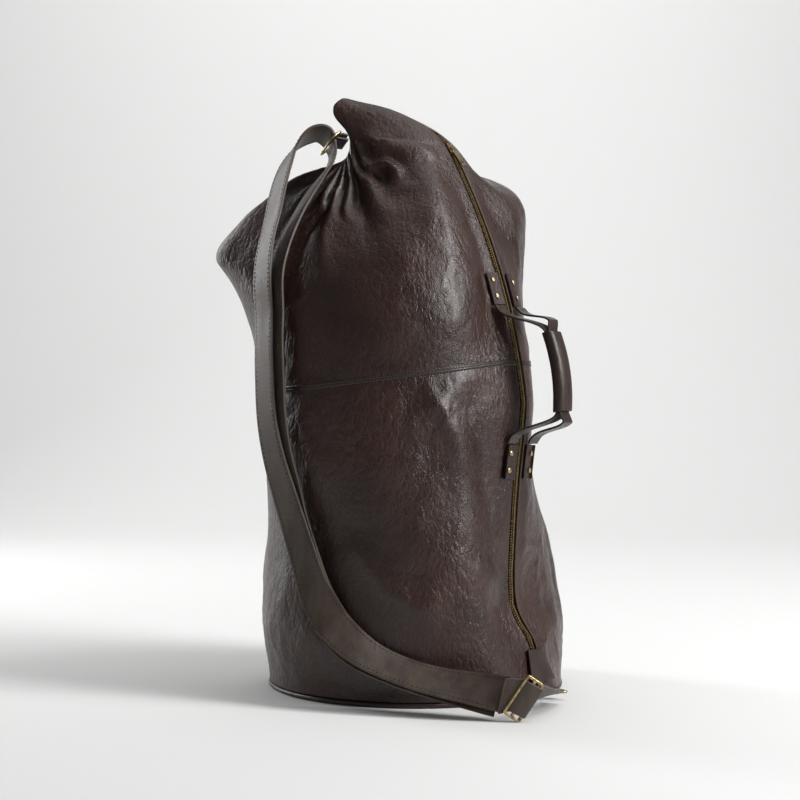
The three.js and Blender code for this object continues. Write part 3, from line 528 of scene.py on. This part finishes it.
def creaseHeight(point, seed):
    # dents, long creases and small crinkles of limp leather
    grain = grainOfFolds
    here = point + Vector((seed, 0, 0))
    upright = Vector((here.x, here.y, here.z * grain["uprightStretch"]))
    wander = noise.noise_vector(here * grain["drift"]) * grain["driftReach"]
    dents = noise.fractal(here * grain["dents"], 1.0, 2.0, 3) * panels["dent"]
    lines = 1 - abs(noise.noise((upright + wander) * grain["creases"])) * grain["ridgeWidth"]
    finer = 1 - abs(noise.noise((upright + wander * 1.4) * grain["crinkles"])) * grain["ridgeWidth"]
    where = max(0.0, noise.noise(here * grain["dents"]) + grain["bareShare"])
    return dents + where * (lines * panels["crease"] + finer * panels["crinkle"])


def pleatHeight(point):
    # pleats that run out of the gathered neck
    away = point - panels["gather"]
    reach = away.length
    if reach > panels["gatherReach"] or point.z > panels["pleatTop"]:
        return 0.0
    turn = math.atan2(away.y, away.x)
    fade = math.sin(math.pi * min(1.0, reach / panels["gatherReach"])) ** 1.3
    drift = 3 * noise.noise(point * grainOfFolds["pleatDrift"])
    return fade * panels["pleat"] * math.sin(turn * panels["pleatCount"] + drift)


def sidesOf(shell):
    # the sheet's four boundary lines, each a list of vertices from corner to corner
    corners = {v for v in shell.verts if len(v.link_edges) == 2 and v.is_boundary}
    sides = []
    for start in corners:
        for edge in start.link_edges:
            line, here, through = [start], start, edge
            while True:
                here = through.other_vert(here)
                line.append(here)
                if here in corners:
                    break
                through = next(e for e in here.link_edges if e.is_boundary and e is not through)
            if line[0].index < line[-1].index:
                sides.append(line)
    return sides


def shapedPanel(node, folds, seed):
    # a panel's outer sheet with its folds, still where it was along its seams
    shell = solidCopy(node)
    keepFaces(shell, regions(shell)[0])
    bmesh.ops.holes_fill(shell, edges=[e for e in shell.edges if e.is_boundary], sides=14)
    mesh = divided(toMesh(shell, node), panels["levels"])
    shell = bmesh.new()
    shell.from_mesh(mesh)
    shell.normal_update()
    border = [v for v in shell.verts if v.is_boundary]
    tree = KDTree(len(border))
    for i, v in enumerate(border):
        tree.insert(v.co, i)
    tree.balance()
    laid = scaledFolds(folds)
    moves = []
    for v in shell.verts:
        calm = min(1.0, tree.find(v.co)[2] / panels["calmReach"])
        height = foldHeight(v.co, laid) + creaseHeight(v.co, seed) + pleatHeight(v.co)
        foot = min(1.0, v.co.z / panels["footReach"])
        moves.append(v.normal * (height * calm * calm * (3 - 2 * calm) * foot))
    for v, move in zip(shell.verts, moves):
        v.co += move
    shell.normal_update()
    return shell


def sideBy(sides, score):
    # the side whose middle has the lowest score
    return min(sides, key=lambda side: score(sum((v.co for v in side), Vector()) / len(side)))


seams = {"halfWidth": 3.1 * mm, "height": 0.75 * mm, "stitchPitch": 3.4 * mm, "stitchLength": 2.5 * mm,
         "stitchWidth": 1.0 * mm, "rowReach": 2.0 * mm,
         "zipReach": 4.2 * mm, "zipLift": 0.15 * mm, "zipStitchWidth": 0.7 * mm}


def linePath(side):
    # a boundary line as points, with the leather's normal and the way into the panel
    path = []
    for i, v in enumerate(side):
        before, after = side[max(0, i - 1)].co, side[min(len(side) - 1, i + 1)].co
        along = (after - before).normalized()
        inner = [e.other_vert(v).co for e in v.link_edges if not e.is_boundary]
        inward = (inner[0] - v.co) if inner else Vector()
        path.append([v.co.copy(), along, v.normal.copy(), inward])
    for i, row in enumerate(path):
        if row[3].length < 1e-9:
            row[3] = path[1 if i == 0 else i - 1][3]
        row[3] = (row[3] - row[1] * row[3].dot(row[1])).normalized()
    return path


def rowAt(path, reach, lift):
    return [point + inward * reach + normal * lift for point, along, normal, inward in path]


def stitchRow(shell, path, reach, lift, width):
    normals = [normal for point, along, normal, inward in path]
    stitches(shell, rowAt(path, reach, lift), normals, seams["stitchPitch"], seams["stitchLength"], width)


def seamBand(shell, path):
    # a raised seam: two folded edges side by side, one each side of the line
    half, top = seams["halfWidth"], seams["height"]
    profile = [(-1.0, -0.25), (-0.84, 0.55), (-0.35, 1.0), (-0.08, 0.85), (0.0, 0.2),
               (0.08, 0.85), (0.35, 1.0), (0.84, 0.55), (1.0, -0.25)]
    bridgedStrip(shell, [rowAt(path, share * half, lift * top) for share, lift in profile])
    bmesh.ops.recalc_face_normals(shell, faces=shell.faces)


bagPanels = {}
threads = bmesh.new()
for node, folds, seed in [
        ("lower_front_panel", frontFolds, 0.0), ("lower_back_panel", backFolds, 3.1),
        ("upper_front_panel", frontFolds, 7.7), ("upper_back_panel", backFolds, 9.4)]:
    bagPanels[node] = shapedPanel(node, folds, seed)
    print(node, "shaped")

zipMiddle = boxMiddle("zip_teeth_front")
bands = bmesh.new()
for node, shell in bagPanels.items():
    sides = sidesOf(shell)
    upper = node.startswith("upper")
    seam = sideBy(sides, (lambda c: c.z) if upper else (lambda c: -c.z))
    foot = sideBy(sides, (lambda c: -c.z) if upper else (lambda c: c.z))
    ends = [side for side in sides if side is not seam and side is not foot]
    zipSide = sideBy(ends, lambda c: (c - zipMiddle).length)
    backSide = next(side for side in ends if side is not zipSide)
    seamPath, zipPath, backPath = linePath(seam), linePath(zipSide), linePath(backSide)
    stitchRow(threads, seamPath, seams["rowReach"], seams["height"], seams["stitchWidth"])
    stitchRow(threads, backPath, seams["rowReach"], seams["height"], seams["stitchWidth"])
    stitchRow(threads, zipPath, seams["zipReach"], seams["zipLift"], seams["zipStitchWidth"])
    if upper:
        seamBand(bands, seamPath)
    if "front" in node:
        seamBand(bands, backPath)

for node, shell in bagPanels.items():
    piece = meshObject(node.replace("_", "") + "Leather", toMesh(shell, node), "bag", "leather_body",
                       "body", "rawEdge", "lining")
    wall = piece.modifiers.new("wall", "SOLIDIFY")
    wall.thickness = panels["thickness"]
    wall.offset = -1
    wall.material_offset = 2  # lining inside
    wall.material_offset_rim = 1  # raw edge round the mouth
    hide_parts(node)
meshObject("seamBands", toMesh(bands, "seamBands"), "bag", "leather_body", "trim")
meshObject("bagStitches", toMesh(threads, "bagStitches"), "bag", "leather_body", "thread")
print("bag leather made")

# ---- base ----

smoothNode("baseWelt", "base_welt", "bag", "leather_body", "trim", 1)
smoothNode("baseDisc", "base_disc", "bag", "leather_body", "trim", 0, 0.5 * mm)
smoothNode("baseBoard", "base_board", "bag", "base_board", "board", 0, 0.4 * mm)

# ---- zip ----

zipParts = {"toothPitch": 2.7 * mm, "toothLength": 1.35 * mm, "toothReach": 3.3 * mm,
            "toothDeep": 2.0 * mm, "toothShift": 0.35 * mm, "toothEdge": 0.25 * mm}
bagAxisX = -15 * mm


def fromAxis(point):
    return Vector((point.x - bagAxisX, point.y, 0)).normalized()


def facing(group):
    # how far a sheet looks away from the bag's middle
    return sum(f.normal.dot(fromAxis(f.calc_center_median())) * f.calc_area() for f in group)


def stripRails(node, pick=max):
    # the two long edges of one face of a strip, station by station
    shell = solidCopy(node)
    keepFaces(shell, pick(regions(shell)[:2], key=facing))
    ends = [e for e in shell.edges if e.is_boundary and all(len(v.link_edges) == 2 for v in e.verts)]
    edge = max(ends, key=lambda e: (e.verts[0].co + e.verts[1].co).z)
    left, right = edge.verts
    face = edge.link_faces[0]
    rails, normals = ([left.co.copy()], [right.co.copy()]), [face.normal.copy()]
    while True:
        opposite = next(e for e in face.edges if left not in e.verts and right not in e.verts)
        left = next(v for v in opposite.verts if any(left in e.verts for e in v.link_edges))
        right = opposite.other_vert(left)
        rails[0].append(left.co.copy())
        rails[1].append(right.co.copy())
        normals.append(face.normal.copy())
        onward = [f for f in opposite.link_faces if f is not face]
        if not onward:
            break
        face = onward[0]
    shell.free()
    return rails[0], rails[1], normals


def zipTeeth(name, node, otherNode, side):
    # blocks along the CAD row's middle; side is 1 or -1, so that the two rows take turns
    inner, outer, normals = stripRails(node)
    towards = sum(((a - b) for a, b in zip(inner, outer)), Vector())
    if towards.dot(boxMiddle(otherNode) - sum(inner, Vector()) / len(inner)) < 0:
        inner, outer = outer, inner
    shell = bmesh.new()
    line = [a.lerp(b, 0.5) for a, b in zip(inner, outer)]
    for i, share in evenly(line, zipParts["toothPitch"]):
        along = (line[i + 1] - line[i]).normalized()
        across = ((inner[i] - outer[i]) - along * (inner[i] - outer[i]).dot(along)).normalized()
        up = normals[i]
        up = (up - along * up.dot(along) - across * up.dot(across)).normalized()
        middle = line[i].lerp(line[i + 1], share) + along * (side * zipParts["toothPitch"] / 4)
        middle += across * zipParts["toothShift"] - up * zipParts["toothDeep"] / 2
        turn = standing(middle, across * zipParts["toothReach"], along * zipParts["toothLength"],
                        up * zipParts["toothDeep"])
        bmesh.ops.create_cube(shell, size=1.0, matrix=turn)
    bmesh.ops.bevel(
        shell, geom=shell.edges, offset=zipParts["toothEdge"], segments=1, profile=0.5, affect="EDGES",
        material=-1)
    bmesh.ops.recalc_face_normals(shell, faces=shell.faces)
    piece = meshObject(name, toMesh(shell, name, False), "bag", "brass", "teeth")
    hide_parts(node)


zipTeeth("zipTeethFront", "zip_teeth_front", "zip_teeth_back", 1)
zipTeeth("zipTeethBack", "zip_teeth_back", "zip_teeth_front", -1)
for place in ("front", "back"):
    smoothNode(f"zipTape{place.title()}", f"zip_tape_{place}", "bag", "zip_tape", "tape", 0)
    smoothNode(f"zipTopStop{place.title()}", f"zip_top_stop_{place}", "bag", "brass", "brass", 0, 0.15 * mm)
smoothNode("zipBottomStop", "zip_bottom_stop", "bag", "brass", "brass", 0, 0.2 * mm)
smoothNode("zipSlider", "zip_slider", "zip_slider", "brass", "brass", 0, 0.3 * mm)
smoothNode("zipPuller", "zip_puller", "zip_puller", "brass", "brass", 0, 0.3 * mm)
smoothNode("zipEndPatch", "zip_end_patch", "bag", "leather_body", "trim", 2, 0.5 * mm)
print("zip made")

# ---- carry handle ----

for height in ("upper", "lower"):
    for place in ("front", "back"):
        which = height.title() + place.title()
        tab = f"handle_tab_{height}_{place}"
        smoothNode(f"handleTab{which}", tab, "bag", "leather_body", "trim", 1, 0.4 * mm)
        for number in (1, 2):
            rivet = f"handle_rivet_{height}_{place}_{number}"
            smoothNode(f"rivet{which}{number}", rivet, "bag", "brass", "brass", 2, 0.15 * mm)


handle = {"gripHalf": 41 * mm, "edge": 0.5 * mm}
swing = next(joint for joint in frame["joints"] if joint["name"] == "handle_swing")
gripUp = Vector(swing["axis"])


def handleHalf(place, height):
    # half a strap: it bends between its tab and the grip, which hides its cut end
    sign = 1 if height == "upper" else -1
    shell = solidCopy(f"handle_strap_{place}")
    softened(shell, handle["edge"])
    middle = boxMiddle("handle_grip")
    bmesh.ops.bisect_plane(
        shell, geom=[*shell.verts, *shell.edges, *shell.faces], plane_co=middle, plane_no=gripUp * sign,
        clear_inner=True)
    bmesh.ops.holes_fill(shell, edges=[e for e in shell.edges if e.is_boundary], sides=0)
    name = f"handleStrap{height.title()}{place.title()}"
    piece = meshObject(name, divided(toMesh(shell, name), 2), None, "leather_body", "trim")
    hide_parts(f"handle_strap_{place}")
    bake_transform(piece)


for place in ("front", "back"):
    for height in ("upper", "lower"):
        handleHalf(place, height)
smoothNode("handleGrip", "handle_grip", "handle", "leather_body", "trim", 2, 0.5 * mm)

gripSeam = {"reach": 34 * mm, "points": 24, "pitch": 3.2 * mm, "length": 2.4 * mm, "width": 0.8 * mm,
            "rayFrom": 50 * mm}


def makeGripSeam():
    # the line of stitches that closes the wrap, down the grip's outer side
    middle = boxMiddle("handle_grip")
    outward = middle - Vector(swing["pos_m"])
    outward = (outward - gripUp * outward.dot(gripUp)).normalized()
    shell = solidCopy("handle_grip")
    tree = BVHTree.FromBMesh(shell)
    shell.free()
    row, normals = [], []
    for k in range(gripSeam["points"]):
        share = 2 * k / (gripSeam["points"] - 1) - 1
        start = middle + gripUp * gripSeam["reach"] * share + outward * gripSeam["rayFrom"]
        place, normal = tree.ray_cast(start, -outward)[:2]
        if place:
            row.append(place)
            normals.append(normal)
    shell = bmesh.new()
    stitches(shell, row, normals, gripSeam["pitch"], gripSeam["length"], gripSeam["width"])
    meshObject("gripSeam", toMesh(shell, "gripSeam"), "handle", "leather_body", "thread")


makeGripSeam()
print("handle made")

# ---- shoulder strap ----

straps = {"edge": 0.6 * mm, "stitchIn": 3.4 * mm, "pitch": 4.8 * mm, "length": 3.4 * mm, "width": 0.85 * mm,
          "blendFrom": 20 * mm, "blendTo": 22 * mm}


def strapShell(node, faceOutward):
    # smooth side, flesh side and raw edges of one strap
    shell = solidCopy(node)
    inner, outer = sorted(regions(shell)[:2], key=facing)
    for face in shell.faces:
        face.material_index = 2
    for face in outer:
        face.material_index = 0 if faceOutward else 1
    for face in inner:
        face.material_index = 1 if faceOutward else 0
    softened(shell, straps["edge"])
    return shell


def strapStitches(node):
    # a row of stitches along each edge, seen on both sides
    shell = bmesh.new()
    for pick in (max, min):
        left, right, normals = stripRails(node, pick)
        for rail, other in ((left, right), (right, left)):
            row = [a + (b - a).normalized() * straps["stitchIn"] for a, b in zip(rail, other)]
            stitches(shell, row, normals, straps["pitch"], straps["length"], straps["width"])
    return shell


for name, node, faceOutward in [("strapFrontRun", "shoulder_strap_front", True),
                                ("strapBackRun", "shoulder_strap_back", False)]:
    piece = meshObject(name, toMesh(strapShell(node, faceOutward), name), "bag", "leather_strap",
                       "strapFace", "strapBack", "rawEdge")
    rounded(piece, 2)
    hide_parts(node)
    meshObject(name + "Stitches", toMesh(strapStitches(node), name), "bag", "leather_strap", "thread")
endMesh = toMesh(strapShell("shoulder_strap_end", True), "strapEnd")
strapEnd = meshObject("strapEnd", divided(endMesh, 2), None, "leather_strap",
                      "strapFace", "strapBack", "rawEdge")
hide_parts("shoulder_strap_end")
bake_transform(strapEnd)

# the strap's way through the buckle, in mm: across the bars, out towards the front, down, half its width
buckleLoop = {
    "barLine": Vector((0.56, 0, 0.83)),
    "across": Vector((0.88, 0.1, -0.47)),
    "strapLine": Vector((0.22, 0, 0.97)),
    "turnDrop": 8,
    "thickness": 1.8 * mm,
    "stations": [
        (-24, -3.6, 8.5, 17.2), (-16, -3.2, 4.0, 17), (-11, -2.2, 1, 17), (-7, 0.4, 0, 17), (-1, 2.4, 0, 17),
        (5, 2.6, 0, 17), (9, 2.4, 0, 17), (11.4, 1.2, 0, 17), (11.8, -0.6, 0, 17), (9.8, -2.7, 0, 17),
        (4, -4.6, 0, 17), (-6, -5.6, 1, 17), (-16, -6.4, 7, 17), (-24, -7.0, 11, 17)],
}


def makeBuckleLoop():
    centre = boxMiddle("slide_buckle")
    front = buckleLoop["across"].cross(buckleLoop["barLine"]).normalized()
    rows = []
    for across, out, down, half in buckleLoop["stations"]:
        turn = min(1.0, down / buckleLoop["turnDrop"])
        line = buckleLoop["barLine"].lerp(buckleLoop["strapLine"], turn).normalized()
        point = centre + (buckleLoop["across"] * across + front * out - Vector((0, 0, down))) * mm
        rows.append([point + line * half * share * mm for share in (-1, -0.9, -0.4, 0.4, 0.9, 1)])
    shell = bmesh.new()
    bridgedStrip(shell, rows)
    bmesh.ops.recalc_face_normals(shell, faces=shell.faces)
    piece = meshObject("buckleLoop", toMesh(shell, "buckleLoop"), "slide_buckle", "leather_strap",
                       "strapFace", "rawEdge")
    depth = piece.modifiers.new("depth", "SOLIDIFY")
    depth.thickness = buckleLoop["thickness"]
    depth.offset = 0
    depth.material_offset_rim = 1
    rounded(piece, 2)


makeBuckleLoop()
smoothNode("topRing", "top_ring", "top_ring", "brass", "brass", 2)
smoothNode("topChape", "top_chape", "bag", "leather_body", "trim", 1, 0.3 * mm)
smoothNode("slideBuckle", "slide_buckle", "slide_buckle", "brass", "brass", 0, 0.45 * mm)
smoothNode("baseRing", "base_ring", "base_ring", "brass", "brass", 2)
smoothNode("baseChape", "base_chape", "bag", "leather_body", "trim", 1, 0.3 * mm)
print("shoulder strap made")

# ---- stage ----


def makeWorld():
    world = bpy.data.worlds.new("studioWorld")
    bpy.context.scene.world = world
    world.use_nodes = True
    background = world.node_tree.nodes["Background"]
    background.inputs["Color"].default_value = studio["worldColour"]
    background.inputs["Strength"].default_value = studio["worldStrength"]
    bpy.context.scene.view_settings.view_transform = "Standard"


def makeFloor():
    # a floor that sweeps up into the wall behind
    shell = bmesh.new()
    far, radius, half = studio["wallDistance"], studio["sweepRadius"], studio["floorHalf"]
    profile = [Vector((0, -half, 0)), Vector((0, far - radius, 0))]
    for k in range(1, studio["sweepSteps"] + 1):
        angle = k / studio["sweepSteps"] * math.pi / 2
        rise = (1 - math.cos(angle)) * radius
        profile.append(Vector((0, far - radius + math.sin(angle) * radius, rise)))
    profile.append(Vector((0, far, studio["wallHeight"])))
    bridgedStrip(shell, [[p + Vector((x, 0, 0)) for p in profile] for x in (half, -half)])
    bmesh.ops.recalc_face_normals(shell, faces=shell.faces)
    floor = bpy.data.objects.new("studioFloor", toMesh(shell, "studioFloor"))
    bpy.context.scene.collection.objects.link(floor)
    floor.data.materials.append(backdropFinish())


makeFloor()
makeCamera()
makeWorld()
for name, light in studio["softBoxes"].items():
    softBox(name, *light)
print("stage made")
